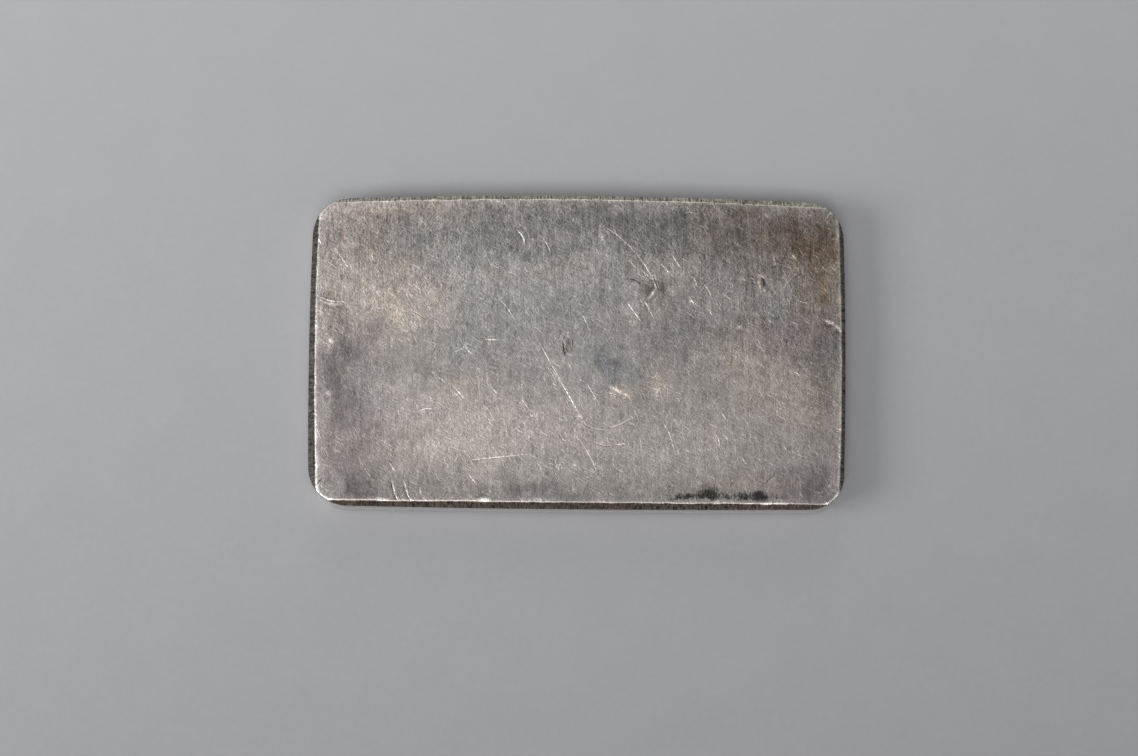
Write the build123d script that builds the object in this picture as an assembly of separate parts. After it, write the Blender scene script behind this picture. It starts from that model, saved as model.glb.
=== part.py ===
from build123d import *
import os

# A small bar of solid silver lying on one of its two flat faces.
# Length runs along X, width along Y and thickness along Z, in millimetres.
# The origin is on the resting face, under the middle of the bar.

# Overall size of the bar
LENGTH = 84.7
WIDTH = 50.0
THICKNESS = 7.17

# Upright corners of the plan
CORNER_RADIUS = 6.0

# How far the middle of each side stands out from the sharp corners of the plan
BOW_BACK = 0.90
BOW_FRONT = 0.32
BOW_ENDS = 0.40

# The sloping cut along each side of a flat face: how far it reaches in, and how far down
BEVEL_REACH = 0.86
BEVEL_DROP = 0.86


def bowed_outline(margin):
    """The plan of the bar with sharp corners, every side moved outwards by the margin."""
    end = LENGTH / 2 + margin
    back = WIDTH / 2 + margin
    front = -WIDTH / 2 - margin
    corner_x = end - BOW_ENDS
    back_y = back - BOW_BACK
    front_y = front + BOW_FRONT
    sides = [
        ThreePointArc((-corner_x, front_y), (0, front), (corner_x, front_y)),
        ThreePointArc((corner_x, front_y), (end, 0), (corner_x, back_y)),
        ThreePointArc((corner_x, back_y), (0, back), (-corner_x, back_y)),
        ThreePointArc((-corner_x, back_y), (-end, 0), (-corner_x, front_y)),
    ]
    return make_face(sides)


def rounded_block():
    """The whole bar before its edges are cut, with round upright corners."""
    plan = bowed_outline(0)
    return extrude(fillet(plan.vertices(), CORNER_RADIUS), amount=THICKNESS)


def beveled_envelope():
    """Two frusta, foot to foot at half thickness, whose slopes are the planes of the bevels.

    They have sharp corners, so the slopes follow the sides and run out on the round corners.
    """
    spread = THICKNESS / 2 * BEVEL_REACH / BEVEL_DROP
    waist = Pos(0, 0, THICKNESS / 2) * bowed_outline(spread - BEVEL_REACH)
    underside = bowed_outline(-BEVEL_REACH)
    top = Pos(0, 0, THICKNESS) * underside
    return loft([underside, waist], ruled=True) + loft([waist, top], ruled=True)


def ingot():
    """The bar: straight walls, round corners, and bevels that fade out at the corners."""
    bar = rounded_block() & beveled_envelope()
    bar.label = "ingot"
    return bar


os.makedirs("parts", exist_ok=True)
export_step(ingot(), "parts/ingot.step")
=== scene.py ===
from typing import NamedTuple

import bpy
import numpy as np
from bpy.props import FloatProperty, FloatVectorProperty, PointerProperty
from mathutils import Matrix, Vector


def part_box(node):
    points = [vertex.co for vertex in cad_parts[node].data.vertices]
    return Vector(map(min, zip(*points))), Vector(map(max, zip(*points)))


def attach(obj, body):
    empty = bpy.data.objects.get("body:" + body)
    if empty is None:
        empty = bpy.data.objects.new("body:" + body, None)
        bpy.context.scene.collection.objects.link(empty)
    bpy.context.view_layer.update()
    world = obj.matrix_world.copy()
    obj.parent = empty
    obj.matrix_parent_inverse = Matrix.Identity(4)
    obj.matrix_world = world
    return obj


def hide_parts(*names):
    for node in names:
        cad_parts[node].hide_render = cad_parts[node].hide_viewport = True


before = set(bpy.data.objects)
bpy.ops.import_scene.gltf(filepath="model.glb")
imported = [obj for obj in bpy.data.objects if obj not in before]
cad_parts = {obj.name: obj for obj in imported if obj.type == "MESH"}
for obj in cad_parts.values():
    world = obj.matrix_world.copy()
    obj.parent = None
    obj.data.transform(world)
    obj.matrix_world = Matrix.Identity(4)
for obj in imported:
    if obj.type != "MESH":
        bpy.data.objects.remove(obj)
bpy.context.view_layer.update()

bl_info = {
    "name": "Tarnished silver bar",
    "version": (1, 0, 0),
    "blender": (4, 5, 0),
    "location": "3D View > Sidebar > Silver Bar",
    "description": "A worn bar of brushed silver with bevelled edges, on a pale grey floor",
    "category": "Object",
}

MM = 0.001
NODE = "ingot"
BOX_LOW, BOX_HIGH = (np.array(corner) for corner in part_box(NODE))
LENGTH, WIDTH = 2 * np.minimum(-BOX_LOW, BOX_HIGH)[:2]
THICKNESS = BOX_HIGH[2]

# The camera: millimetres of lens and sensor, degrees, and metres. Half the floor's width is in metres too.
PHOTO_WIDTH, PHOTO_HEIGHT = 1138, 756
LENS = 105.0
SENSOR = 36.0
CAMERA_TILT = 8.14
CAMERA_TURN = 0.53
CAMERA_DISTANCE = 0.5223
CAMERA_AIM = (-0.00125, -0.00436)
FLOOR_HALF = 3.0

# Spacing of the surface's grid, and the places of its rings from each edge of the wall to half height
FACE_PITCH = 0.272 * MM
UNDERSIDE_PITCH = 0.9 * MM
WALL_SHARES = (0.05, 0.35, 0.67, 1.0)

# Height of the band of triangles that joins the wall's two halves
ZIPPER_HEIGHT = 0.35 * MM

# Reach of the bevels in millimetres at the start, middle and end of each side, along +X or +Y
LEFT_REACH = (1.42, 1.08, 1.00)
RIGHT_REACH = (0.74, 0.66, 0.90)
FRONT_REACH = (0.70, 0.98, 0.68)
BACK_REACH = (0.95, 0.82, 1.12)

# How bare the edge between face and bevel is halfway along a side, and the change to its back or left end.
# These also set how strong the painted highlight along that edge is
LEFT_WORN_AND_LIT, LEFT_WORN_CHANGE = 0.76, -0.30
RIGHT_WORN_AND_LIT, RIGHT_WORN_CHANGE = 0.95, 0.35
FRONT_WORN_AND_LIT, FRONT_WORN_CHANGE = 0.15, 0.26
BACK_WORN_AND_LIT = 0.45

# How far into the face the wear beside that edge fades
WEAR_FADE = 0.5 * MM

# How much steeper the front bevel is than the others, as a share
FRONT_STEEPER = 0.15

# How wide the band is at a corner where the looks of two bevels run together
BEVEL_BLEND = 0.3 * MM

# Random heights along each side of the noise's lattice
LATTICE = 512

# The stretch of fine grid lines round a bevel's top, as shares of its reach
CREASE_START, CREASE_END = 0.62, 1.42

# How far from a scratch its values reach, how long its ends taper, and the half width over which it fades
SCRATCH_REACH = 0.8 * MM
SCRATCH_TAPER = 0.35 * MM
SCRATCH_FADE = 0.4 * MM


class Mark(NamedTuple):
    """A scratch, gouge or dent of the upper face, from one pixel of the photograph to another.

    The bend is a share of its length, the width and depth are millimetres, and the shine runs from -1, black,
    to 1, bright.
    """
    start: tuple
    end: tuple
    bend: float
    width: float
    shine: float
    depth: float = 0.0


def marks(*rows):
    """Marks from rows: the start's and the end's two numbers, the bend, width, shine and depth."""
    return [Mark(row[:2], row[2:4], *row[4:]) for row in rows]


DENTS = marks(
    (653, 279, 656, 288, 0, 0.45, -0.4, 0.16), (656, 288, 648, 299, 0.06, 0.50, -0.3, 0.18),
    (570, 337, 569, 350, 0, 0.30, -0.7, 0.08), (564, 343, 564.5, 354, 0, 0.28, -0.8, 0.10),
    (610, 389, 618, 393, 0.1, 0.45, 0.3, 0.10), (616, 392, 628, 398, 0, 0.30, 0.3, 0.08),
    (762, 276, 763, 287, 0.2, 0.40, -0.6, 0.12), (823, 322, 840, 333, 0.1, 0.45, 0.3, 0.12),
    (320, 301, 342, 305, -0.12, 0.35, 0.3, 0.08), (392.5, 482, 397, 500, -0.1, 0.22, 0.2, 0.09),
    (405, 485, 410, 500, -0.1, 0.22, 0.2, 0.09), (366, 479, 373, 488, 0.1, 0.22, 0.2, 0.06),
    (738, 327, 741, 330, 0, 0.40, 0.4, 0.08), (328, 340, 331, 343, 0, 0.45, 0.4, 0.08),
    (326, 392, 328, 397, 0, 0.45, 0.4, 0.08), (480, 502, 487, 502, 0, 0.55, 0.4, 0.16),
    (707, 507, 717, 503, 0, 0.40, 0.4, 0.12))

# Fine scratches, and those that cross or touch them
SCRATCHES = marks(
    (539, 343, 586, 426, 0, 0.18, 0.5), (603, 226, 651, 276, 0.07, 0.17, 0.65),
    (517.5, 231, 524, 243, 0.12, 0.24, 1.5), (626, 279, 639.5, 283, 0.12, 0.24, -0.8),
    # Painted shade: the dark line at (653, 276) beside the chevron dent, and the dark lines at (391.3, 483)
    # and (404, 487) on the shaded side of two bright grooves.
    (653, 276, 658.5, 289, 0, 0.24, -0.75), (391.3, 483, 396.4, 499, -0.05, 0.17, -0.7),
    (404, 487, 409.6, 499, -0.05, 0.15, -0.5), (608, 393.5, 623, 398.5, 0.05, 0.16, -0.4),
    # Painted shade: the dark line at (652, 288) along the shaded side of the chevron dent's lower arm.
    (652, 288, 646.5, 297, 0, 0.22, -0.4), (562.8, 342, 564.8, 355, 0, 0.24, -0.8),
    (567, 344, 567.3, 352, 0, 0.20, -0.4), (571.5, 337, 571.5, 350, 0.12, 0.20, -0.25),
    (560.3, 330, 560.3, 336.5, 0, 0.16, -0.5), (762, 276.5, 763.3, 288, 0.14, 0.32, -0.6),
    (823, 249, 823, 252, 0, 0.15, 0.5), (578.5, 420, 607, 430.5, -0.1, 0.2, -0.25),
    (473, 460, 525, 454.5, 0, 0.17, 0.35), (486, 340, 498, 340, 0, 0.2, 0.7),
    (465, 345, 472, 354, -0.1, 0.2, 0.6), (689, 297, 695.5, 308, 0, 0.16, 0.5),
    (338, 253, 347, 266, 0, 0.2, 0.9), (665, 426, 673, 448, 0.05, 0.2, 0.6),
    (776, 471, 762, 485, 0.05, 0.2, -0.3), (313.5, 488, 321, 479, 0, 0.24, -0.9),
    (571, 431.5, 577, 423, 0.1, 0.2, -0.25), (763, 288, 764.5, 291, 0, 0.4, 1),
    (773.5, 258, 775.5, 264, 0, 0.22, 0.8), (791, 254, 796, 260, 0, 0.22, 0.7),
    (414, 312, 424, 318, 0, 0.2, -0.35), (583, 316, 589, 330, 0, 0.16, 0.4),
    (468, 474, 476, 484, 0, 0.18, 0.5), (390, 464, 394, 471, 0, 0.22, 0.9))
CROSSING_SCRATCHES = marks(
    (552, 370, 580, 418, 0.02, 0.17, 0.5), (548, 368, 556, 382, 0, 0.15, 0.35),
    (579, 440, 596, 470, 0.03, 0.20, 0.5), (611, 427.7, 630, 419, -0.04, 0.24, 0.3),
    (592, 441, 615, 445.5, -0.1, 0.2, -0.2), (617, 445, 625, 444, 0, 0.22, 0.4),
    # Painted highlight: both marks on the next row are the lit facets of the chevron dent.
    (655.5, 287.5, 647.5, 299.5, 0.06, 0.46, 0.8), (652.8, 279, 656, 288.5, 0, 0.34, 0.8),
    (758.5, 275, 764.5, 279, 0.1, 0.26, 1), (758.8, 279.5, 760.5, 288.5, -0.1, 0.40, 0.5),
    (784, 286, 796, 274, 0, 0.15, 0.6), (604, 229, 607, 233, 0, 0.16, 0.5),
    (600, 232, 605, 243, 0, 0.2, 0.7), (673.5, 257.5, 679, 266, 0, 0.24, 1.2),
    (692, 277, 696, 285, 0.1, 0.2, 0.9), (659, 262, 672, 276, 0, 0.15, 0.45),
    (690, 300, 696.5, 305, 0, 0.24, 1), (690, 298, 689, 303, 0, 0.18, 0.8),
    (628, 304, 641, 322, 0, 0.2, 0.9), (685, 213, 696, 214, 0.1, 0.2, 0.8),
    (790, 222, 792, 230, 0.1, 0.16, 0.6), (800, 250, 803, 256, 0, 0.2, 0.9),
    (708, 310, 712, 318, 0.1, 0.17, 0.6), (798, 300, 806, 303, -0.1, 0.17, 0.5),
    (722, 414, 727, 421, 0, 0.2, 0.7), (588, 386, 596, 400, 0, 0.14, 0.4),
    (455, 388, 463, 398, 0, 0.16, 0.6), (438, 377, 446, 384, 0, 0.16, 0.4),
    (490, 386, 497, 394, 0, 0.16, 0.5), (521, 399, 530, 411, 0, 0.16, 0.5),
    (612, 224, 617, 240, 0.05, 0.14, 0.4), (541, 236, 549, 250, 0.05, 0.15, 0.4),
    (455, 352, 462, 349, 0, 0.16, 0.5), (418, 412, 431, 409, 0.1, 0.17, 0.5),
    (716, 436, 719, 446, 0.1, 0.20, 0.8), (742, 458, 746, 464, 0, 0.20, 0.7),
    (724, 436, 727, 442, 0.2, 0.18, 0.7), (640, 440, 641, 450, 0, 0.16, 0.4),
    (560, 436, 566, 446, 0, 0.15, -0.5), (643.5, 300, 652, 316, 0.02, 0.17, 0.6),
    (705, 286, 712, 300, 0.05, 0.2, 0.6), (380, 440, 392, 447, 0, 0.16, 0.25),
    (500, 300, 515, 322, 0.05, 0.16, 0.3), (365, 470, 374, 482, 0, 0.18, 0.6),
    (598, 234, 604, 244, 0, 0.19, 0.7), (392.5, 482, 398, 501, -0.05, 0.22, 0.9),
    (405, 485, 411, 501, -0.05, 0.22, 0.9), (318, 296, 343, 302, -0.08, 0.22, 0.6),
    (420, 489, 420.5, 494, 0, 0.3, 0.9), (707, 507, 717, 503.5, 0, 0.35, 0.7),
    (746, 504, 790, 504.5, 0, 0.28, 0.6))


class Stain(NamedTuple):
    """A soft patch of tarnish or wear of the upper face: its centre and half sizes in the photo's pixels."""
    colour: str
    centre: tuple
    size: tuple
    strength: float


def stains(colour, *rows):
    """Stains of one colour, from rows: the centre's two numbers, the two half sizes and the strength."""
    return [Stain(colour, row[:2], row[2:4], row[4]) for row in rows]


STAINS = (
    *stains("grey",
        (560, 230, 260, 34, 0.75), (740, 232, 110, 38, 0.8), (330, 372, 30, 44, 0.85),
        (430, 350, 90, 34, 0.45), (680, 335, 90, 36, 0.4), (828, 352, 26, 34, 0.8),
        (335, 475, 40, 34, 0.45), (338, 384, 26, 66, 0.6), (352, 440, 40, 50, 0.45), (372, 487, 50, 18, 1),
        (500, 490, 130, 14, 0.65), (815, 484, 34, 20, 0.6), (660, 222, 76, 16, 0.5),
        (775, 272, 50, 18, 0.4), (826, 405, 16, 70, 0.45), (610, 364, 20, 16, 0.45),
        (578, 504, 320, 46, 0.42), (545, 493, 60, 9, 0.7), (362, 493, 24, 7, 0.5),
        (776, 400, 32, 2.5, 0.45), (338, 425, 18, 34, 0.5), (337, 316, 14, 12, 0.45),
        (378, 460, 18, 13, 0.4), (650, 220, 64, 10, 0.35), (718, 328, 34, 20, 0.4), (396, 364, 34, 11, 0.4),
        (625, 378, 30, 20, 0.35), (818, 388, 18, 22, 0.5), (818, 436, 16, 14, 0.4), (816, 484, 22, 12, 0.6),
        (658, 484, 18, 11, 0.5), (655, 412, 20, 13, 0.4), (337, 304, 14, 17, 0.4), (337, 241, 12, 13, 0.35),
        (750, 300, 20, 40, 0.4), (790, 362, 32, 14, 0.4), (820, 390, 14, 14, 0.35),
        (337, 425, 13, 28, 0.35), (578, 442, 18, 20, 0.4), (658, 438, 14, 12, 0.35), (700, 484, 52, 9, 0.4),
        (818, 485, 18, 13, 0.5)),
    *stains("brown",
        (790, 234, 56, 34, 0.8), (820, 268, 24, 66, 0.85), (358, 240, 24, 26, 0.35),
        (762.5, 282, 3, 6, 0.8)),
    *stains("beige",
        (386, 298, 36, 44, 1), (385, 211, 62, 9, 0.8), (335, 280, 20, 50, 0.5), (750, 370, 28, 34, 0.7),
        (812, 405, 30, 30, 0.7), (425, 448, 90, 30, 0.35), (778, 350, 30, 90, 0.25),
        (745, 484, 50, 10, 0.4), (458, 388, 18, 13, 0.5), (618, 393, 13, 7, 1), (657, 384, 12, 16, 0.5)),
    *stains("violet",
        (348, 420, 40, 90, 0.75), (787, 336, 34, 34, 0.9), (812, 486, 50, 22, 0.8)),
    *stains("blue",
        (787, 306, 22, 24, 0.7), (606, 366, 28, 20, 1), (480, 285, 130, 70, 0.5), (626, 285, 30, 22, 0.3)),
    *stains("pale",
        (640, 440, 90, 50, 0.3), (500, 445, 120, 40, 0.3), (710, 425, 28, 26, 0.3),
        (560, 272, 110, 24, 0.3), (320, 223, 9, 13, 0.9), (376, 206, 54, 4.5, 1.3),
        (440, 316, 62, 15, 0.55), (838, 236, 7, 18, 0.8), (516, 270, 60, 11, 0.5), (402, 312, 40, 14, 0.4),
        (378, 232, 20, 14, 0.4), (658, 300, 20, 17, 0.4), (455, 384, 16, 12, 0.4), (418, 306, 36, 26, 0.85),
        (455, 393, 44, 32, 0.65), (495, 432, 60, 24, 0.4), (500, 290, 56, 20, 0.5), (658, 268, 28, 12, 0.5)),
    # Painted shade in and beside the chevron dent near (653, 288) and the dent near (568, 343).
    *stains("shade",
        (648, 291, 5, 7, 0.9), (647, 289, 3, 8, 0.5), (664, 284, 4, 8, 0.5), (568.5, 343, 4.5, 10, 0.7),
        (660, 291, 4.5, 8, 0.9)),
)
SOOT = (
    *stains("soot",
        (674, 497, 7, 4.5, 0.9), (694, 496.5, 14, 4.5, 0.85), (711, 496, 9, 6.5, 1.2),
        (727, 497, 9, 4, 0.6), (744, 496, 7, 4.5, 0.75), (760, 495.5, 11, 5.5, 1.1), (783, 497, 11, 4, 0.5),
        (722, 490, 60, 9, 0.35), (548, 473, 3, 3, 0.8), (564, 350, 1.2, 4, 0.8), (567, 348, 1.4, 3, 0.6),
        (633, 281, 6, 1.4, 0.6), (616, 363, 5, 4, 0.6), (600, 371, 4, 4, 0.5), (612, 381, 5, 7, 0.4),
        (518, 403, 2, 2, 0.7), (539, 404, 2, 2, 0.7)),
)
FLAKES = (
    *stains("flake",
        (612, 391, 5, 3.5, 0.62), (618, 392, 5, 4, 0.62), (625, 396.5, 5, 2.6, 0.62),
        (657, 396, 2.5, 7, 0.35), (655, 376, 7, 3, 0.5), (658, 391, 4, 4, 0.5), (738, 328.5, 3, 3, 0.9),
        (567, 333.5, 3, 2, 0.8), (561, 338, 2, 2, 0.8), (774, 262, 1.6, 4, 0.8), (793.5, 257, 2, 4, 0.8),
        (762, 289, 2, 3, 0.8), (330, 342, 5, 4, 0.85), (327, 395, 4, 5, 0.8), (826, 324, 5, 3, 0.7),
        (833, 330, 6, 3.5, 0.7), (673.5, 497.3, 1.3, 1.8, 1.2), (830, 486, 2, 2.4, 0.8),
        (821, 493, 14, 4, 0.25), (674, 208, 14, 5, 0.3), (793, 215, 30, 10, 0.22), (379, 499.5, 4, 2.5, 1),
        (386, 499, 3, 2, 0.9), (484, 500, 5, 3, 1), (538, 500.5, 4, 2.5, 0.9), (766, 503.5, 9, 2, 1),
        (781, 504, 7, 1.8, 0.9), (827, 486, 3, 2, 0.7), (830, 212, 3, 4, 0.9), (535, 416, 6, 5, 0.4),
        (560, 466, 9, 6, 0.35), (600, 470, 8, 8, 0.3), (584, 316, 8, 5, 0.35), (520, 387, 12, 5, 0.25)),
)


def camera_axes():
    """Right, up and forward of the camera: it looks down, tilted off the vertical and turned a little."""
    tilt, turn = np.radians(CAMERA_TILT), np.radians(CAMERA_TURN)
    forward = np.array([-np.sin(turn) * np.sin(tilt), np.cos(turn) * np.sin(tilt), -np.cos(tilt)])
    right = np.array([np.cos(turn), np.sin(turn), 0.0])
    return right, np.cross(right, forward), forward


def camera_place():
    """The camera stands back from the aimed point of the upper face, against its forward axis."""
    aim = np.array([*CAMERA_AIM, THICKNESS])
    return aim - camera_axes()[2] * CAMERA_DISTANCE


def on_face(pixel):
    """Where the ray through a pixel of the photograph meets the plane of the upper face."""
    right, up, forward = camera_axes()
    scale = SENSOR / LENS / PHOTO_WIDTH
    across, down = np.asarray(pixel, float) - (PHOTO_WIDTH / 2, PHOTO_HEIGHT / 2)
    ray = forward + right * across * scale - up * down * scale
    eye = camera_place()
    return (eye + ray * (THICKNESS - eye[2]) / ray[2])[:2]


# Metres on the upper face to one pixel of the photograph, measured near its middle
PIXEL = float(np.hypot(*(on_face((570, 378)) - on_face((569, 378)))))


def soft_step(value):
    """Zero below 0, one above 1 and 3v^2 - 2v^3 between."""
    value = np.clip(value, 0, 1)
    return value * value * (3 - 2 * value)


def soft_ramp(value, turn):
    """A rounded corner: zero up to -turn, the value v from +turn, and (v + turn)^2 / (4 turn) between."""
    bent = (np.clip(value, -turn, turn) + turn) ** 2 / (4 * turn)
    return np.where(value > turn, value, bent)


def lattice_noise(x, y, cell, seed):
    """Smooth noise from -1 to 1: random heights on a lattice of the given cell, joined by soft steps."""
    heights = np.random.default_rng(seed).uniform(-1, 1, (LATTICE, LATTICE))
    column, row = np.floor(x / cell).astype(int), np.floor(y / cell).astype(int)
    across, along = soft_step(x / cell - column), soft_step(y / cell - row)
    left, right = column % LATTICE, (column + 1) % LATTICE
    front, back = row % LATTICE, (row + 1) % LATTICE
    low = heights[front, left] * (1 - across) + heights[front, right] * across
    high = heights[back, left] * (1 - across) + heights[back, right] * across
    return low * (1 - along) + high * along


def line_places(half, shape, pitch, fine):
    """Grid lines from -half to half: crowded round the rim and the top of the bevel, evenly spaced inside.

    The two spaces beside the crowded lines ease into the even ones, by 0.4 and 1.1 of the face's pitch.
    """
    rim, reach = shape.rim_radius, shape.bevel_reach
    rim_turn = rim * (1 - np.cos(np.linspace(0, np.pi / 2, 2 + fine // 4)))
    slope = np.linspace(rim, CREASE_START * reach, 2 + fine // 6)[1:]
    crease = np.linspace(CREASE_START * reach, CREASE_END * reach, fine + 1)[1:]
    easing = CREASE_END * reach + FACE_PITCH * np.array([0.4, 1.1])
    near = np.concatenate([rim_turn, slope, crease, easing])
    inner = half - near[-1] - FACE_PITCH
    steps = 2 * round(inner / pitch)
    return np.concatenate([near - half, np.linspace(-inner, inner, steps + 1), (half - near)[::-1]])


def corner_radii(a, b, shape):
    """The radius of the upright corner nearest to each point: the near right one is tighter."""
    return np.where((a > 0) & (b < 0), shape.near_radius, shape.corner_radius)


def rounded_plan(a, b, radius):
    """Takes the sharp-cornered rectangle to round corners.

    In each corner square the ring at the larger of the two distances becomes an arc of that radius, and the
    smaller distance becomes the angle along it.
    """
    corner_x, corner_y = LENGTH / 2 - radius, WIDTH / 2 - radius
    u, v = np.abs(a) - corner_x, np.abs(b) - corner_y
    ring = np.maximum(u, v)
    angle = np.pi / 4 * np.where(u >= v, v / np.maximum(u, 1e-9), 2 - u / np.maximum(v, 1e-9))
    inside = (u > 0) & (v > 0)
    x = np.where(inside, corner_x + ring * np.cos(angle), np.abs(a))
    y = np.where(inside, corner_y + ring * np.sin(angle), np.abs(b))
    return np.sign(a) * x, np.sign(b) * y


def bowed_plan(x, y, shape):
    """Lets each side's middle stand out: a point moves inwards by the bow times the square of its place."""
    bow_y = np.where(y > 0, shape.bow_back, shape.bow_front)
    along_x, along_y = 2 * x / LENGTH, 2 * y / WIDTH
    return x - along_x * shape.bow_ends * along_y ** 2, y - along_y * bow_y * along_x ** 2


def outline_foot(a, b, shape):
    """The point of the outline beside each place of the grid, straight out through its nearest side."""
    radius = corner_radii(a, b, shape)
    corner_x, corner_y = LENGTH / 2 - radius, WIDTH / 2 - radius
    u, v = np.abs(a) - corner_x, np.abs(b) - corner_y
    sideways = u >= v
    stretch = np.where((u > 0) & (v > 0), radius / np.maximum(np.maximum(u, v), 1e-9), 1)
    out_a = np.where(sideways, LENGTH / 2, np.where(u > 0, corner_x + u * stretch, np.abs(a)))
    out_b = np.where(sideways, np.where(v > 0, corner_y + v * stretch, np.abs(b)), WIDTH / 2)
    return bowed_plan(*rounded_plan(np.sign(a) * out_a, np.sign(b) * out_b, radius), shape)


def uneven_reach(along, values):
    """A bevel's reach along its side, from -1 to 1: the parabola through its start, middle and end values."""
    start, middle, end = values
    return middle + (end - start) / 2 * along + ((start + end) / 2 - middle) * along ** 2


class Face(NamedTuple):
    """One flat face with its bevels: places, drops below its plane, masks, and the bevels' colours with their
    painted shade and highlight.
    """
    x: np.ndarray
    y: np.ndarray
    drop: np.ndarray
    side: np.ndarray
    rim: np.ndarray
    wear: np.ndarray
    bevel_tarnish_and_light: np.ndarray
    foot_x: np.ndarray
    foot_y: np.ndarray


def edge_bareness_and_highlight(share, along_x, along_y, foot_x, foot_y):
    """How bare the edge between face and bevel is, which also sets its painted highlight, from the shares
    that the four sides have at each point.

    The left and right sides change evenly along them, and the front one steps up left of its middle. Noise
    along the outline varies the whole.
    """
    left = LEFT_WORN_AND_LIT + LEFT_WORN_CHANGE * along_y
    right = RIGHT_WORN_AND_LIT + RIGHT_WORN_CHANGE * along_y
    front = FRONT_WORN_AND_LIT + FRONT_WORN_CHANGE * soft_step(-2.2 * along_x - 0.1)
    back = np.full(along_x.shape, BACK_WORN_AND_LIT)
    worn_and_lit = (share * np.array([left, right, front, back])).sum(axis=0)
    return worn_and_lit * (0.85 + 0.45 * lattice_noise(foot_x, foot_y, 2.6 * MM, 40))


def face_grid(lines, shape, look, seed):
    """A face over a grid of lines along X and Y.

    A point is past a bevel's top by the reach less its distance from the straight side, for the bevel where
    that is most. The drop is the rounded ramp of it times the bevel's steepness, plus a quarter circle at the
    outline itself. The rim is a bell over the bevel's top, plus one over the outer edge where there is no
    bevel. The wear fades exponentially from the bevel's top into the face.
    """
    a, b = np.meshgrid(*lines, indexing="ij")
    straight_x, straight_y = rounded_plan(a, b, corner_radii(a, b, shape))
    x, y = bowed_plan(straight_x, straight_y, shape)
    foot_x, foot_y = outline_foot(a, b, shape)
    along_x, along_y = 2 * x / LENGTH, 2 * y / WIDTH
    waver = lattice_noise(foot_x, foot_y, 1.3 * MM, seed)
    waver = waver + 0.7 * lattice_noise(foot_x, foot_y, 0.4 * MM, seed + 1)
    reaches = (
        (LENGTH / 2 + straight_x, uneven_reach(along_y, LEFT_REACH)),
        (LENGTH / 2 - straight_x, uneven_reach(along_y, RIGHT_REACH)),
        (WIDTH / 2 + straight_y, uneven_reach(along_x, FRONT_REACH)),
        (WIDTH / 2 - straight_y, uneven_reach(along_x, BACK_REACH)),
    )
    past_each = np.array([reach * MM + waver * shape.rim_waver - inset for inset, reach in reaches])
    past = past_each.max(axis=0)
    share = np.exp((past_each - past) / BEVEL_BLEND)
    share = share / share.sum(axis=0)
    # Painted shade and highlight: each side's bevel gets its own colour for how the light falls on it, on top
    # of its tarnish.
    colours = np.array([look.left_bevel_tarnish_and_shade, look.right_bevel_tarnish_and_shade, look.front_bevel_tarnish_and_shade, look.back_bevel_tarnish_and_highlight])
    bevel_tarnish_and_light = np.einsum("sij,sc->ijc", share, colours)
    inset = np.minimum(LENGTH / 2 - np.abs(a), WIDTH / 2 - np.abs(b))
    turn = np.clip(shape.rim_radius - inset, 0, None)
    edge = shape.rim_radius - np.sqrt(np.maximum(shape.rim_radius ** 2 - turn ** 2, 0))
    steepness = shape.bevel_drop / shape.bevel_reach * (1 + FRONT_STEEPER * share[2])
    drop = soft_ramp(past, shape.rim_wear) * steepness + edge
    side = soft_step(past / shape.rim_wear / 2 + 0.5)
    worn_and_lit = edge_bareness_and_highlight(share, along_x, along_y, foot_x, foot_y)
    # Painted highlight along the outer rounded edge where there is no bevel, stronger towards the front.
    corner = np.exp(-((inset - 1.6 * shape.rim_radius) / shape.rim_radius / 1.3) ** 2) * (1 - side)
    spread = shape.rim_wear * np.where(past < 0, 1.7, 1.0)
    rim = worn_and_lit * np.exp(-(past / spread) ** 2) + (1.0 - 0.6 * along_y) * corner
    wear = worn_and_lit * (0.4 + 0.6 * worn_and_lit) * np.exp(-np.maximum(-past, 0) / WEAR_FADE) * (1 - side)
    return Face(x, y, drop, side, np.clip(rim, 0, 1.5), np.clip(wear, 0, 1), bevel_tarnish_and_light, foot_x, foot_y)


def beside_mark(x, y, mark):
    """Distances across a mark's bent line and past its ends, and the share of its length, for each point.

    The line is the straight one from start to end, moved sideways by 4 s (1 - s) times the bend and its
    length.
    """
    start, end = on_face(mark.start), on_face(mark.end)
    line = end - start
    length = np.hypot(*line)
    share = ((x - start[0]) * line[0] + (y - start[1]) * line[1]) / length ** 2
    across = ((y - start[1]) * line[0] - (x - start[0]) * line[1]) / length
    held = np.clip(share, 0, 1)
    across = across - 4 * held * (1 - held) * mark.bend * length
    return across, (share - held) * length, held


def dent_depth(x, y, mark):
    """How deep a dent goes: a rounded trough that is deepest halfway, with a low burr round it.

    With d the distance in widths, it is exp(-(1.6 d)^2) less 0.18 times exp(-(3 (d - 1.25))^2).
    """
    across, past, share = beside_mark(x, y, mark)
    distance = np.hypot(across, past) / (mark.width * MM)
    swell = 0.55 + 0.45 * np.sin(np.pi * share)
    trough = swell * np.exp(-(distance * 1.6) ** 2) - 0.18 * np.exp(-((distance - 1.25) * 3) ** 2)
    return mark.depth * MM * trough


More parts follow.
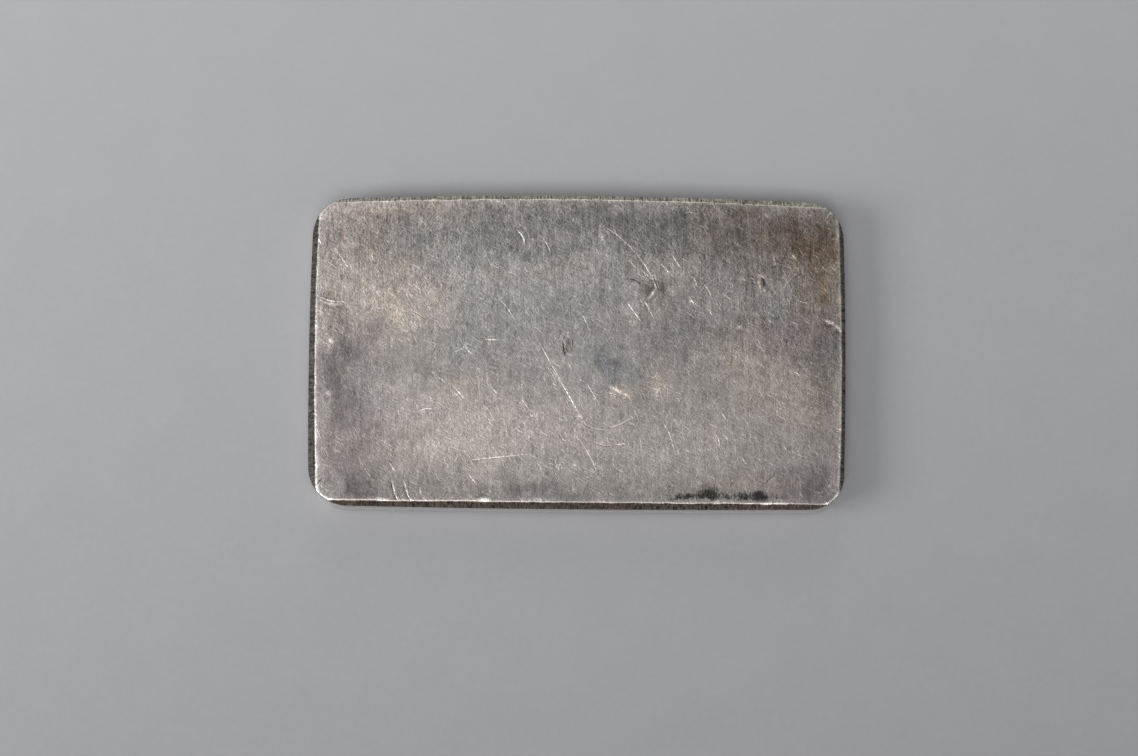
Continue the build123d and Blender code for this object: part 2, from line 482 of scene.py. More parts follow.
def scratch_fields(x, y, scratches):
    """For each point, its place across the nearest scratch in half widths, and that one's shine and presence.

    The first is signed and smooth, so it can be read between the points of the grid. The others fade to
    nothing past the scratch's ends and away from it, before another scratch takes over.
    """
    fields = np.zeros((3, *x.shape))
    nearest = np.full(x.shape, SCRATCH_REACH)
    for mark in scratches:
        across, past, share = beside_mark(x, y, mark)
        distance = np.hypot(across, past)
        taper = soft_step(1 - np.abs(past) / SCRATCH_TAPER) * (0.65 + 0.35 * np.sin(np.pi * share))
        presence = taper * soft_step(1.8 - np.abs(across) / SCRATCH_FADE)
        taken = distance < nearest
        values = across / (mark.width * MM / 2), mark.shine * presence, presence
        fields = np.where(taken, values, fields)
        nearest = np.minimum(nearest, distance)
    return fields


def stain_cover(x, y, stain):
    """How much of a stain shows: a bell over an ellipse whose outline is warped by noise of three sizes."""
    centre = on_face(stain.centre)
    size = np.array(stain.size) * PIXEL
    u, v = (x - centre[0]) / size[0], (y - centre[1]) / size[1]
    for strength, cell, seed in ((0.40, 4.5, 61), (0.28, 1.7, 62), (0.16, 0.7, 63)):
        u = u + strength * lattice_noise(x, y, cell * MM, seed)
        v = v + strength * lattice_noise(x, y, cell * MM, seed + 10)
    return stain.strength * np.exp(-(u * u + v * v) * 1.1)


def tarnish(x, y, look):
    """The colour of the upper face relative to clean silver.

    It is the product of its stains, of slow mottling that is longer along Y, and of an even fade along X that
    is painted shade.
    """
    streaks = lattice_noise(x, y / 7, 0.8 * MM, 65)
    colour = np.ones((*x.shape, 3))
    for stain in STAINS:
        stained = np.array(getattr(look, stain.colour))
        cover = np.clip(stain_cover(x, y, stain) * (1 + 0.25 * streaks), 0, 1)
        colour = colour * (1 + (stained - 1) * cover[..., None])
    slow = sum(strength * lattice_noise(x, y / stretch, cell * MM, seed) for strength, stretch, cell, seed in
               ((0.08, 1, 7, 66), (0.06, 2, 2.1, 67), (0.035, 3, 0.7, 68)))
    # Painted shade: the face darkens evenly towards the right end.
    slope = 1.0 - look.fade * x / LENGTH
    return colour * ((1 + slow) * slope)[..., None]


def loop_of(grid):
    """The border of a grid as one ring: front, right, back and left, counter-clockwise seen from above."""
    return np.concatenate([grid[:-1, 0], grid[-1, :-1], grid[:0:-1, -1], grid[0, :0:-1]])


def grid_quads(index, upwards):
    """The quads of a grid of vertex numbers, with their faces turned up or down."""
    corners = [index[:-1, :-1], index[1:, :-1], index[1:, 1:], index[:-1, 1:]]
    if not upwards:
        corners.reverse()
    return np.stack([corner.ravel() for corner in corners], -1)


def band_quads(upper, lower):
    """The quads between two rings of vertex numbers, facing away from the bar."""
    return np.stack([lower, np.roll(lower, -1), np.roll(upper, -1), upper], -1)


def ring_places(points):
    """How far round its ring each point comes, from 0 to 1."""
    steps = np.hypot(*(np.roll(points, -1, 0) - points)[:, :2].T)
    return np.concatenate([[0], np.cumsum(steps)[:-1]]) / steps.sum()


def zipper_triangles(upper, lower, upper_places, lower_places):
    """Joins two rings with different counts of points.

    Every step of either ring makes one triangle, whose third corner is the point of the other ring that is
    reached when the middles of all steps are taken in order.
    """
    upper_middle = (upper_places + np.append(upper_places[1:], 1)) / 2
    lower_middle = (lower_places + np.append(lower_places[1:], 1)) / 2
    below = np.searchsorted(lower_middle, upper_middle)
    above = np.searchsorted(upper_middle, lower_middle, side="right")
    hanging = np.stack([lower[below % len(lower)], np.roll(upper, -1), upper], -1)
    standing = np.stack([lower, np.roll(lower, -1), upper[above % len(upper)]], -1)
    return np.concatenate([hanging, standing])


def upper_relief(x, y, shape):
    """Dents and slow waves of the upper face, all below its plane."""
    waves = shape.face_waves * (lattice_noise(x, y, 17 * MM, 5) + 0.5 * lattice_noise(x, y, 8 * MM, 6) - 1.5)
    depth = -waves
    for mark in DENTS:
        depth = depth + dent_depth(x, y, mark)
    return depth


class Surface(NamedTuple):
    """The bar's closed surface: points, quads, triangles, and each point's values for the material."""
    points: np.ndarray
    quads: np.ndarray
    triangles: np.ndarray
    tint: np.ndarray
    sides: np.ndarray
    edges: np.ndarray
    outline: np.ndarray
    scratches: np.ndarray
    crossing: np.ndarray


def bar_surface(shape, look):
    """Two face grids joined by rings down the wall, with coarser lines from half height down.

    The dents and waves of the upper face are added to its drop, a fifth as deep on the bevels.
    """
    halves = LENGTH / 2, WIDTH / 2
    top_lines = [line_places(half, shape, FACE_PITCH, fine=12) for half in halves]
    low_lines = [line_places(half, shape, UNDERSIDE_PITCH, fine=6) for half in halves]
    top = face_grid(top_lines, shape, look, seed=11)
    low = face_grid(low_lines, shape, look, seed=31)
    relief = upper_relief(top.x, top.y, shape) * (1 - 0.8 * top.side)
    top_z = THICKNESS - np.maximum(top.drop + relief, 0)
    ring_top = np.stack([loop_of(top.x), loop_of(top.y), loop_of(top_z)], -1)
    ring_low = np.stack([loop_of(low.x), loop_of(low.y), loop_of(low.drop)], -1)
    middle, foot = ring_top.copy(), ring_low.copy()
    middle[:, 2] = THICKNESS / 2
    foot[:, 2] = THICKNESS / 2 - ZIPPER_HEIGHT
    rings = [ring_top * (1 - share) + middle * share for share in WALL_SHARES]
    low_rings = [ring_low * (1 - share) + foot * share for share in reversed(WALL_SHARES)]
    grids = [np.stack([g.ravel() for g in (f.x, f.y, z)], -1) for f, z in ((top, top_z), (low, low.drop))]
    parts = [grids[0], *rings, *low_rings, grids[1]]
    counts = np.cumsum([0] + [len(part) for part in parts])
    numbers = [np.arange(start, end) for start, end in zip(counts, counts[1:])]
    top_index, low_index = numbers[0].reshape(top.x.shape), numbers[-1].reshape(low.x.shape)
    upper = [loop_of(top_index), *numbers[1:1 + len(rings)]]
    lower = [*numbers[1 + len(rings):-1], loop_of(low_index)]
    quads = [grid_quads(top_index, True), grid_quads(low_index, False)]
    quads += [band_quads(*pair) for pair in zip(upper, upper[1:])]
    quads += [band_quads(*pair) for pair in zip(lower, lower[1:])]
    triangles = zipper_triangles(upper[-1], lower[0], ring_places(middle), ring_places(foot))
    points = np.concatenate(parts)
    faces, walls = (slice(0, counts[1]), slice(counts[-2], None)), slice(counts[1], counts[-2])
    tint, sides, edges, outline, scratches, crossing = np.zeros((6, len(points), 3))
    tint[walls] = look.wall
    sides[walls] = (1, 0, 1)
    outline[:, :2] = points[:, :2]
    colours = tarnish(top.x, top.y, look), np.array(look.underside)
    for part, face, colour in zip(faces, (top, low), colours):
        blend = colour * (1 - face.side[..., None]) + face.bevel_tarnish_and_light * face.side[..., None]
        tint[part] = blend.reshape(-1, 3)
        sides[part, 0], sides[part, 1] = face.side.ravel(), face.rim.ravel()
        edges[part, 0] = face.wear.ravel()
        outline[part, 0], outline[part, 1] = face.foot_x.ravel(), face.foot_y.ravel()
    soot = sum(stain_cover(top.x, top.y, stain) for stain in SOOT)
    flake = sum(stain_cover(top.x, top.y, stain) for stain in FLAKES)
    edges[faces[0], 1] = np.clip(soot, 0, 1.2).ravel() * (1 - top.side.ravel())
    edges[faces[0], 2] = np.clip(flake, 0, 1.2).ravel()
    scratches[faces[0]] = scratch_fields(top.x, top.y, SCRATCHES).reshape(3, -1).T
    crossing[faces[0]] = scratch_fields(top.x, top.y, CROSSING_SCRATCHES).reshape(3, -1).T
    quads = np.concatenate(quads)
    return Surface(points, quads, triangles, tint, sides, edges, outline, scratches, crossing)


def fill_mesh(name, surface):
    """A Blender mesh from whole arrays of points, quads and triangles, with the values for its material."""
    mesh = bpy.data.meshes.new(name)
    mesh.vertices.add(len(surface.points))
    mesh.vertices.foreach_set("co", surface.points.ravel())
    corners = np.concatenate([surface.quads.ravel(), surface.triangles.ravel()])
    mesh.loops.add(len(corners))
    mesh.loops.foreach_set("vertex_index", corners)
    quad_starts = np.arange(len(surface.quads)) * 4
    triangle_starts = len(surface.quads) * 4 + np.arange(len(surface.triangles)) * 3
    mesh.polygons.add(len(quad_starts) + len(triangle_starts))
    mesh.polygons.foreach_set("loop_start", np.concatenate([quad_starts, triangle_starts]))
    mesh.update(calc_edges=True)
    mesh.shade_smooth()
    for layer in ("tint", "sides", "edges", "outline", "scratches", "crossing"):
        attribute = mesh.attributes.new(layer, "FLOAT_VECTOR", "POINT")
        attribute.data.foreach_set("vector", getattr(surface, layer).ravel())
    return mesh


def size_of(name, description, millimetres):
    """A length that a user can change."""
    return FloatProperty(name=name, description=description, default=millimetres * MM, unit="LENGTH")


def tint_of(name, what, default):
    """A colour that a user can change, given relative to clean silver."""
    description = f"Colour of the {what}, relative to silver"
    return FloatVectorProperty(name=name, description=description, default=default)


class BarShape(bpy.types.PropertyGroup):
    corner_radius: size_of("Corner radius", "Radius of three of the upright corners", 6.0)
    near_radius: size_of("Near right radius", "Radius of the upright corner at the near right", 5.2)
    bow_back: size_of("Back bow", "How far the back side stands out in its middle", 0.90)
    bow_front: size_of("Front bow", "How far the front side stands out in its middle", 0.32)
    bow_ends: size_of("End bow", "How far each end stands out in its middle", 0.40)
    bevel_reach: size_of("Bevel reach", "How far the bevels reach in from the sides", 0.86)
    bevel_drop: size_of("Bevel drop", "How far the bevels go down the walls", 0.86)
    rim_radius: size_of("Rim radius", "Rounding of the outermost edge", 0.10)
    rim_wear: size_of("Rim wear", "Half width of the worn edge between face and bevel", 0.15)
    rim_waver: size_of("Rim waver", "How far that edge wanders from its line", 0.05)
    face_waves: size_of("Face waves", "Height of the slow waves of the upper face", 0.02)


class SilverLook(bpy.types.PropertyGroup):
    silver: FloatVectorProperty(name="Silver", description="Colour of the brushed metal", subtype="COLOR",
                                default=(0.380, 0.3535, 0.337))
    beige: tint_of("Beige stain", "beige patches", (1.25, 1.18, 1.06))
    brown: tint_of("Brown tarnish", "brown patches", (0.66, 0.54, 0.42))
    grey: tint_of("Grey tarnish", "dull patches", (0.66, 0.66, 0.66))
    blue: tint_of("Blue tarnish", "bluish patches", (0.78, 0.83, 0.90))
    violet: tint_of("Violet tarnish", "violet patches", (0.78, 0.75, 0.80))
    pale: tint_of("Worn patch", "rubbed patches", (1.22, 1.20, 1.17))
    # Painted shade: the colour of the shaded patches in and beside the dents.
    shade: tint_of("Painted dent shade", "shade painted in dents", (0.42, 0.39, 0.36))
    # The bevel colours hold their tarnish and also painted light: the right one darker as painted shade, the
    # back one brighter than clean silver as a painted highlight.
    left_bevel_tarnish_and_shade: tint_of("Left bevel", "left bevels", (0.52, 0.50, 0.47))
    right_bevel_tarnish_and_shade: tint_of("Right bevel", "right bevels", (0.42, 0.40, 0.38))
    front_bevel_tarnish_and_shade: tint_of("Front bevel", "front bevels", (0.60, 0.52, 0.46))
    back_bevel_tarnish_and_highlight: tint_of("Back bevel", "back bevels", (1.30, 1.30, 1.14))
    wall: tint_of("Walls", "walls", (2.52, 2.47, 2.38))
    underside: tint_of("Underside", "underside", (0.95, 0.94, 0.92))
    # The fade is painted shade that darkens the upper face towards its right end.
    fade: FloatProperty(name="Fade", description="How much darker the right end is than the left",
                        default=0.30)


def power_of(name, place, watts):
    """The power of a lamp, which a user can change."""
    return FloatProperty(name=name, description=f"Power of the {place}", default=watts, unit="POWER")


class StageLook(bpy.types.PropertyGroup):
    floor: FloatVectorProperty(name="Floor", description="Colour of the floor", subtype="COLOR",
                               default=(0.372, 0.376, 0.391))
    key_power: power_of("Key light", "large light on the left", 1.62)
    front_power: power_of("Front light", "high light in front", 7.5)
    fill_power: power_of("Fill light", "low light at the front right", 0.4)
    back_power: power_of("Back light", "low light behind", 2.6)
    horizon: FloatProperty(name="Horizon", description="Brightness of the dome at the horizon", default=0.09)
    zenith: FloatProperty(name="Zenith", description="Brightness of the dome overhead", default=0.39)


def feed(tree, node, inputs):
    """Gives each named input of a node a value, or links it to another node's output."""
    for name, value in inputs.items():
        if isinstance(value, bpy.types.NodeSocket):
            tree.links.new(value, node.inputs[name])
        else:
            node.inputs[name].default_value = value


def add_node(tree, kind, inputs, **settings):
    """Adds a node, sets its options and feeds its inputs."""
    node = tree.nodes.new(kind)
    for name, value in settings.items():
        setattr(node, name, value)
    feed(tree, node, inputs)
    return node


def maths(tree, operation, *values):
    """One step of arithmetic on outputs or numbers."""
    return add_node(tree, "ShaderNodeMath", dict(enumerate(values)), operation=operation).outputs[0]


def stretched(tree, place, *scale):
    """A place multiplied by a scale along each axis."""
    return add_node(tree, "ShaderNodeVectorMath", {0: place, 1: scale}, operation="MULTIPLY").outputs[0]


def turned_by(tree, place, angle):
    """A place turned about Z by an angle in radians."""
    inputs = {"Vector": place, "Angle": angle}
    return add_node(tree, "ShaderNodeVectorRotate", inputs, rotation_type="Z_AXIS").outputs[0]


def parts_of(tree, place):
    """The three parts of a place, a colour or a stored layer."""
    return add_node(tree, "ShaderNodeSeparateXYZ", {0: place}).outputs


def stored(tree, layer):
    """A layer of values that the mesh stores."""
    return add_node(tree, "ShaderNodeAttribute", {}, attribute_name=layer).outputs["Vector"]


def mixed(tree, share, first, second):
    """The first value where the share is 0, the second where it is 1, and a blend between."""
    inputs = {"Factor": share, "A": first, "B": second}
    return add_node(tree, "ShaderNodeMix", inputs, data_type="FLOAT").outputs[0]


def noise(tree, place, detail=2.0, roughness=0.5, scale=1.0):
    """Noise about 0, from roughly -0.5 to 0.5."""
    inputs = {"Vector": place, "Scale": scale, "Detail": detail, "Roughness": roughness}
    node = add_node(tree, "ShaderNodeTexNoise", inputs)
    return maths(tree, "SUBTRACT", node.outputs["Fac"], 0.5)


def ramp(tree, value, low, high, low_value=0.0, high_value=1.0):
    """A smooth step between two values."""
    inputs = {"Value": value, "From Min": low, "From Max": high, "To Min": low_value, "To Max": high_value}
    return add_node(tree, "ShaderNodeMapRange", inputs, interpolation_type="SMOOTHSTEP").outputs[0]


def weighted(tree, *pairs):
    """The sum of outputs times their weights."""
    total = maths(tree, "MULTIPLY", *pairs[0])
    for value, weight in pairs[1:]:
        total = maths(tree, "MULTIPLY_ADD", value, weight, total)
    return total


def flecks(tree, place):
    """Small patches of a random value each, from -0.5 to 0.5, one to a cell of the given place."""
    inputs = {"Vector": place, "Scale": 1.0}
    node = add_node(tree, "ShaderNodeTexVoronoi", inputs, voronoi_dimensions="2D")
    return maths(tree, "SUBTRACT", parts_of(tree, node.outputs["Color"])[0], 0.5)


def hairlines(tree, place, angle, across, along):
    """Fine lines at an angle from X in degrees: noise stretched along them, times its own size.

    They are half as strong where dark. Across and along are counts of noise cells to a millimetre.
    """
    turned = turned_by(tree, place, -np.radians(angle))
    value = noise(tree, stretched(tree, turned, along, across, 1.0), 0.0)
    shallow = maths(tree, "MULTIPLY", value, 0.5)
    return maths(tree, "MULTIPLY", maths(tree, "MAXIMUM", value, shallow), maths(tree, "ABSOLUTE", value))


def dash_group():
    """Short straight scratches, one to a Voronoi cell, at random angles about the given one.

    The place is turned by the angle and divided by the cell. Its offset from the cell's point is turned by a
    random part of the spread. A dash is where the offset's two parts are within half the width and half the
    length.
    """
    tree = bpy.data.node_groups.new("short scratches", "ShaderNodeTree")
    tree.interface.new_socket("Place", in_out="INPUT", socket_type="NodeSocketVector")
    for name in ("Cell", "Angle", "Spread", "Length", "Width", "Share"):
        tree.interface.new_socket(name, in_out="INPUT", socket_type="NodeSocketFloat")
    tree.interface.new_socket("Dash", in_out="OUTPUT", socket_type="NodeSocketFloat")
    given = tree.nodes.new("NodeGroupInput").outputs
    turned = turned_by(tree, given["Place"], given["Angle"])
    size = maths(tree, "DIVIDE", 1.0, given["Cell"])
    scaled = add_node(tree, "ShaderNodeVectorMath", {0: turned, "Scale": size}, operation="SCALE").outputs[0]
    inputs = {"Vector": scaled, "Scale": 1.0}
    cells = add_node(tree, "ShaderNodeTexVoronoi", inputs, voronoi_dimensions="2D").outputs
    chance = parts_of(tree, cells["Color"])
    inputs = {0: scaled, 1: cells["Position"]}
    offset = add_node(tree, "ShaderNodeVectorMath", inputs, operation="SUBTRACT").outputs[0]
    swing = maths(tree, "MULTIPLY", maths(tree, "SUBTRACT", chance[0], 0.5), given["Spread"])
    parts = parts_of(tree, turned_by(tree, offset, swing))
    half_width = maths(tree, "MULTIPLY", given["Width"], size)
    half_length = maths(tree, "MULTIPLY", maths(tree, "MULTIPLY", given["Length"], size),
                        maths(tree, "MULTIPLY_ADD", chance[1], 0.7, 0.3))
    across = maths(tree, "DIVIDE", maths(tree, "ABSOLUTE", parts[1]), half_width)
    along = maths(tree, "DIVIDE", maths(tree, "ABSOLUTE", parts[0]), half_length)
    line = maths(tree, "MULTIPLY", ramp(tree, across, 1.0, 0.3), ramp(tree, along, 1.0, 0.6))
    dash = maths(tree, "MULTIPLY", line, maths(tree, "LESS_THAN", chance[2], given["Share"]))
    tree.links.new(dash, tree.nodes.new("NodeGroupOutput").inputs["Dash"])
    return tree


def dashes(tree, group, place, **sizes):
    """A layer of short scratches: cell, length and width in millimetres, angle and spread in degrees."""
    inputs = {name.title(): value for name, value in sizes.items()}
    inputs["Angle"], inputs["Spread"] = np.radians(sizes["angle"]), np.radians(sizes["spread"])
    node = tree.nodes.new("ShaderNodeGroup")
    node.node_tree = group
    feed(tree, node, {"Place": place, **inputs})
    return node.outputs[0]


def named_scratches(tree, layer, broken):
    """Tone and height of the scratches stored in a layer: a groove one half width to each side."""
    across, shine, presence = parts_of(tree, stored(tree, layer))
    line = maths(tree, "MULTIPLY", ramp(tree, maths(tree, "ABSOLUTE", across), 1.3, 0.3), broken)
    return maths(tree, "MULTIPLY", line, shine), maths(tree, "MULTIPLY", line, presence)


class Patterns(NamedTuple):
    """The noises that the parts of the silver's finish share."""
    brushing: bpy.types.NodeSocket
    streaks: bpy.types.NodeSocket
    speckle: bpy.types.NodeSocket
    mottle: bpy.types.NodeSocket
    grain: bpy.types.NodeSocket


def silver_patterns(tree, place):
    """Brushing and longer streaks along the width, fine speckle, mottle, and a grain of small patches."""
    return Patterns(
        noise(tree, stretched(tree, place, 5.2, 0.5, 1.0), 1.0, 0.7),
        noise(tree, stretched(tree, place, 1.5, 0.11, 0.5), 2.0),
        noise(tree, stretched(tree, place, 4.4, 3.6, 3.6), 1.0, 0.7),
        noise(tree, place, 5.0, 0.66, 0.42),
        flecks(tree, stretched(tree, place, 6.4, 3.4, 1)))


def face_finish(tree, place, patterns, wear):
    """Tone, height and added roughness of the flat faces: hairlines, patterns, painted glints, short and
    named scratches.

    The texture is stronger towards the back and the ends. Worn metal beside the bevels is brighter and
    nicked.
    """
    brushing, streaks, speckle, mottle, grain = patterns
    crumbs = flecks(tree, stretched(tree, place, 4.8, 4.4, 1))
    right, back, _ = parts_of(tree, place)
    contrast = weighted(tree, (maths(tree, "ABSOLUTE", right), 0.3), (right, 0.12), (back, 1.0))
    contrast = ramp(tree, contrast, 0.0, 27.0, 0.82, 1.3)
    upright = hairlines(tree, place, 91, 7.5, 0.35)
    leaning = hairlines(tree, place, 116, 7.0, 0.5)
    crossing = hairlines(tree, place, 58, 7.0, 0.55)
    lying = hairlines(tree, place, 155, 7.0, 0.6)
    group = dash_group()
    fine = dashes(tree, group, place, cell=1.0, angle=58, spread=80, length=0.5, width=0.075, share=0.5)
    medium = dashes(tree, group, stretched(tree, place, 0.97, 1.03, 1),
                    cell=3.1, angle=60, spread=60, length=1.3, width=0.07, share=0.5)
    dark = dashes(tree, group, stretched(tree, place, -1, 1, 1),
                  cell=1.9, angle=-40, spread=150, length=0.6, width=0.06, share=0.35)
    nicks = dashes(tree, group, stretched(tree, place, 1.04, 0.98, 1),
                   cell=0.8, angle=80, spread=70, length=0.38, width=0.07, share=0.9)
    broken = ramp(tree, weighted(tree, (speckle, 2.4), (grain, 0.5)), -0.6, 0.3, 0.2, 1.15)
    first_tone, first_groove = named_scratches(tree, "scratches", broken)
    second_tone, second_groove = named_scratches(tree, "crossing", broken)
    rubbed = weighted(tree, (nicks, 0.9), (speckle, 2.2), (mottle, 0.8), (1.0, 0.45))
    rubbed = maths(tree, "MULTIPLY", wear, rubbed)
    # Painted glints: bright specks put into the colour where the brushed metal would catch the light.
    painted_glints = ramp(tree, weighted(tree, (crumbs, 1.0), (speckle, 1.3), (upright, 1.5)), 0.42, 0.85)
    hairs = weighted(tree, (upright, 3.8), (leaning, 4.4), (crossing, 3.8), (lying, 3.4), (1.0, -0.08))
    texture = weighted(tree, (hairs, 0.97), (brushing, 0.5), (streaks, 0.42), (speckle, 0.45),
                       (mottle, 0.32), (grain, 0.24), (crumbs, 0.16), (fine, 0.42), (medium, 0.6),
                       (dark, -0.3), (painted_glints, 0.4))
    tone = weighted(tree, (texture, contrast), (first_tone, 1.6), (second_tone, 1.6), (rubbed, 0.8))
    height = weighted(tree, (brushing, 0.010), (speckle, 0.014), (hairs, 0.02), (fine, -0.006),
                      (medium, -0.008), (dark, -0.012), (first_groove, -0.02), (second_groove, -0.02))
    return tone, height, weighted(tree, (mottle, 0.25), (brushing, 0.12), (fine, -0.06), (medium, -0.08))


def side_finish(tree, place, speckle, wall):
    """Tone and height of the bevels and walls, and the ribs up them.

    The ribs are noise read at the place's foot on the outline, with a small drift, so they run up and down.
    The walls are smoother than the bevels and darker towards the top.
    """
    drift = stretched(tree, place, 0.06, 0.06, 0.35)
    foot = stretched(tree, stored(tree, "outline"), 1000, 1000, 1000)
    along = add_node(tree, "ShaderNodeVectorMath", {0: foot, 1: drift}, operation="ADD").outputs[0]
    ribs = noise(tree, along, 3.0, 0.75, 3.4)
    high = ramp(tree, parts_of(tree, place)[2], 1.8, 6.3)
    bevel_tone = weighted(tree, (ribs, 5.5), (speckle, 0.9))
    wall_tone = weighted(tree, (ribs, 0.9), (speckle, 0.5), (high, -0.48))
    height = weighted(tree, (ribs, 0.05), (speckle, 0.02))
    height = maths(tree, "MULTIPLY", height, maths(tree, "MULTIPLY_ADD", wall, -0.9, 1.0))
    return mixed(tree, wall, bevel_tone, wall_tone), height, ribs


def sooted(tree, patterns, soot):
    """How black the soot is: its cover roughened by the patterns, and nothing where it has no cover."""
    brushing, streaks, speckle, mottle, grain = patterns
    black = weighted(tree, (soot, 1.35), (brushing, 1.5), (speckle, 1.9), (grain, 0.15), (mottle, 1.6),
                     (streaks, 0.3))
    return maths(tree, "MULTIPLY", ramp(tree, black, 0.0, 1.9), ramp(tree, soot, 0.0, 0.35))


def chipped(tree, patterns, flake):
    """How bright the chipped metal is: its cover broken into spots by the patterns."""
    spots = weighted(tree, (flake, 1.0), (patterns.speckle, 1.6), (patterns.grain, 0.5))
    return maths(tree, "MULTIPLY", ramp(tree, spots, 0.35, 0.65), ramp(tree, flake, 0.0, 0.2))


def silver_material(look):
    """Tarnished silver, brushed along the width, with a coarser grain up the walls and bevels.

    A place is in millimetres. The tone multiplies the silver's colour and the stored tint.
    """
    material = bpy.data.materials.new("tarnished silver")
    material.use_nodes = True
    tree = material.node_tree
    shader = tree.nodes["Principled BSDF"]
    place = add_node(tree, "ShaderNodeTexCoord", {}).outputs["Object"]
    place = stretched(tree, place, 1000, 1000, 1000)
    side, rim, wall = parts_of(tree, stored(tree, "sides"))
    wear, soot, flake = parts_of(tree, stored(tree, "edges"))
    patterns = silver_patterns(tree, place)
    face_tone, face_height, face_roughness = face_finish(tree, place, patterns, wear)
    side_tone, side_height, ribs = side_finish(tree, place, patterns.speckle, wall)

    tone = mixed(tree, side, face_tone, side_tone)
    tone = maths(tree, "MAXIMUM", maths(tree, "ADD", tone, 1.0), 0.15)
    # Painted highlight: the edge between face and bevel is made brighter in colour, over its bare metal.
    worn_and_lit = maths(tree, "MULTIPLY", rim, weighted(tree, (ribs, 2.5), (patterns.grain, 0.5), (1.0, 1.45)))
    tone = maths(tree, "ADD", tone, maths(tree, "MAXIMUM", worn_and_lit, 0.0))
    black = sooted(tree, patterns, soot)
    tone = maths(tree, "MULTIPLY", tone, ramp(tree, black, 0.0, 0.9, 1.0, 0.14))
    tone = maths(tree, "MULTIPLY_ADD", chipped(tree, patterns, flake), 0.75, tone)
    silver = stretched(tree, stored(tree, "tint"), *look.silver)
    colour = add_node(tree, "ShaderNodeVectorMath", {0: silver, "Scale": tone}, operation="SCALE").outputs[0]
    tree.links.new(colour, shader.inputs["Base Color"])

    roughness = weighted(tree, (face_roughness, 1.0), (rim, -0.12), (wall, -0.22), (black, 0.2), (1.0, 0.42))
    tree.links.new(roughness, shader.inputs["Roughness"])
    shader.inputs["Metallic"].default_value = 1.0

    inputs = {"Height": mixed(tree, side, face_height, side_height), "Distance": MM, "Strength": 1.0}
    bump = add_node(tree, "ShaderNodeBump", inputs)
    tree.links.new(bump.outputs[0], shader.inputs["Normal"])
    return material


class SILVER_OT_bar(bpy.types.Operator):
    """Add the silver bar in place of the plain solid"""
    bl_idname = "silver.bar"
    bl_label = "Silver Bar"

    def execute(self, context):
        look = context.scene.silver_look
        mesh = fill_mesh("silver_bar", bar_surface(context.scene.bar_shape, look))
        mesh.materials.append(silver_material(look))
        bar = bpy.data.objects.new("silver_bar", mesh)
        context.collection.objects.link(bar)
        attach(bar, "root")
        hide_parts(NODE)
        return {"FINISHED"}


def floor_material(look):
    """Matt grey card, a little darker towards the front as painted shade."""
    material = bpy.data.materials.new("grey card")
    material.use_nodes = True
    tree = material.node_tree
    shader = tree.nodes["Principled BSDF"]
    place = add_node(tree, "ShaderNodeTexCoord", {}).outputs["Object"]
    # Painted shade: the card darkens towards the front, where the light falls off.
    inputs = {"From Min": -0.09, "From Max": 0.09, "To Min": 0.78, "To Max": 1.16}
    inputs["Value"] = parts_of(tree, place)[1]
    shade = add_node(tree, "ShaderNodeMapRange", inputs).outputs[0]
    grain = noise(tree, stretched(tree, place, 900, 900, 900), 3.0, 0.7)
    blotches = noise(tree, stretched(tree, place, 130, 130, 130), 2.0)
    shade = maths(tree, "ADD", shade, weighted(tree, (grain, 0.09), (blotches, 0.05)))
    inputs = {0: tuple(look.floor), "Scale": shade}
    colour = add_node(tree, "ShaderNodeVectorMath", inputs, operation="SCALE").outputs[0]
    tree.links.new(colour, shader.inputs["Base Color"])
    shader.inputs["Roughness"].default_value = 0.9
    shader.inputs["Specular IOR Level"].default_value = 0.0
    return material


def add_lamp(context, name, power, azimuth, elevation, distance, size):
    """A square soft light aimed at the bar: azimuth and elevation in degrees, distance and size in metres."""
    lamp = bpy.data.lights.new(name, "AREA")
    lamp.shape = "SQUARE"
    lamp.size = size
    lamp.energy = power
    holder = bpy.data.objects.new(name, lamp)
    context.collection.objects.link(holder)
    turn, rise = np.radians((azimuth, elevation))
    away = np.array([np.cos(rise) * np.cos(turn), np.cos(rise) * np.sin(turn), np.sin(rise)])
    right = np.array([-np.sin(turn), np.cos(turn), 0.0])
    turned = np.stack([right, np.cross(away, right), away], -1)
    holder.matrix_world = Matrix.Translation(away * distance) @ Matrix(turned.tolist()).to_4x4()


def dome_world(context, look):
    """A soft dome: dark towards the horizon and pale overhead."""
    world = bpy.data.worlds.new("soft dome")
    world.use_nodes = True
    context.scene.world = world
    tree = world.node_tree
    direction = add_node(tree, "ShaderNodeTexCoord", {}).outputs["Generated"]
    glow = ramp(tree, parts_of(tree, direction)[2], 0.0, 0.85, look.horizon, look.zenith)
    tree.links.new(glow, tree.nodes["Background"].inputs["Color"])


def add_camera(context):
    """The camera looks down on the bar as the photograph does."""
    lens = bpy.data.cameras.new("camera")
    lens.lens = LENS
    lens.sensor_width = SENSOR
    camera = bpy.data.objects.new("camera", lens)
    context.collection.objects.link(camera)
    right, up, forward = camera_axes()
    turned = np.stack([right, up, -forward], -1)
    camera.matrix_world = Matrix.Translation(camera_place()) @ Matrix(turned.tolist()).to_4x4()
    context.scene.camera = camera


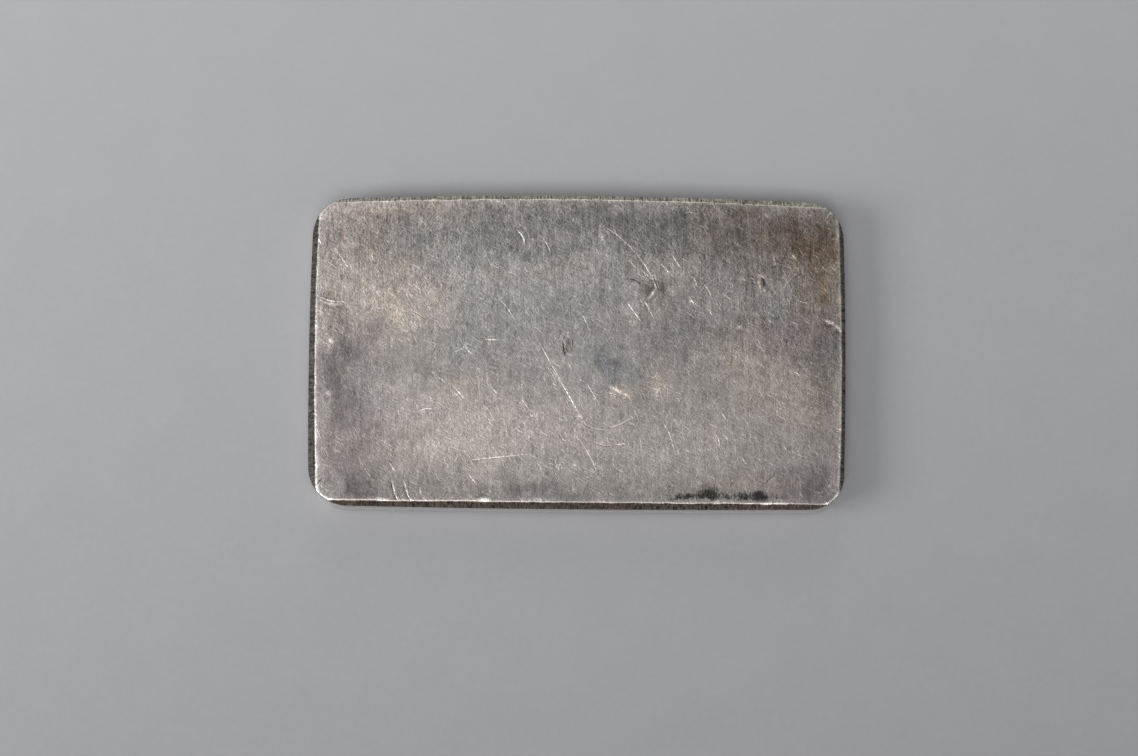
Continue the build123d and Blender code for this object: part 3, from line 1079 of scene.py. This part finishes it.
class SILVER_OT_stage(bpy.types.Operator):
    """Add the floor, the soft lights and the camera"""
    bl_idname = "silver.stage"
    bl_label = "Stage"

    def execute(self, context):
        look = context.scene.stage_look
        mesh = bpy.data.meshes.new("floor")
        corners = [(x * FLOOR_HALF, y * FLOOR_HALF, 0) for x, y in ((-1, -1), (1, -1), (1, 1), (-1, 1))]
        mesh.from_pydata(corners, [], [(0, 1, 2, 3)])
        mesh.materials.append(floor_material(look))
        floor = bpy.data.objects.new("floor", mesh)
        context.collection.objects.link(floor)
        add_lamp(context, "key light", look.key_power, azimuth=195, elevation=40, distance=0.55, size=0.26)
        add_lamp(context, "front light", look.front_power, azimuth=262, elevation=69, distance=1.5, size=0.55)
        add_lamp(context, "fill light", look.fill_power, azimuth=328, elevation=36, distance=1.5, size=0.7)
        add_lamp(context, "back light", look.back_power, azimuth=95, elevation=30, distance=1.5, size=0.7)
        dome_world(context, look)
        add_camera(context)
        context.scene.view_settings.view_transform = "Standard"
        return {"FINISHED"}


class SILVER_PT_panel(bpy.types.Panel):
    """Buttons and sizes of the silver bar"""
    bl_idname = "SILVER_PT_panel"
    bl_label = "Silver Bar"
    bl_space_type = "VIEW_3D"
    bl_region_type = "UI"
    bl_category = "Silver Bar"

    def draw(self, context):
        for operator in (SILVER_OT_bar, SILVER_OT_stage):
            self.layout.operator(operator.bl_idname)
        for group in (context.scene.bar_shape, context.scene.silver_look, context.scene.stage_look):
            for name in group.__annotations__:
                self.layout.prop(group, name)


CLASSES = (BarShape, SilverLook, StageLook, SILVER_OT_bar, SILVER_OT_stage, SILVER_PT_panel)


def register():
    """Adds the classes, and the settings to the scene."""
    for cls in CLASSES:
        bpy.utils.register_class(cls)
    bpy.types.Scene.bar_shape = PointerProperty(type=BarShape)
    bpy.types.Scene.silver_look = PointerProperty(type=SilverLook)
    bpy.types.Scene.stage_look = PointerProperty(type=StageLook)


def unregister():
    """Takes the settings and the classes away again."""
    del bpy.types.Scene.stage_look
    del bpy.types.Scene.silver_look
    del bpy.types.Scene.bar_shape
    for cls in reversed(CLASSES):
        bpy.utils.unregister_class(cls)


def main():
    """Makes the bar and the stage."""
    register()
    bpy.ops.silver.bar()
    bpy.ops.silver.stage()


if __name__ == "__main__":
    main()
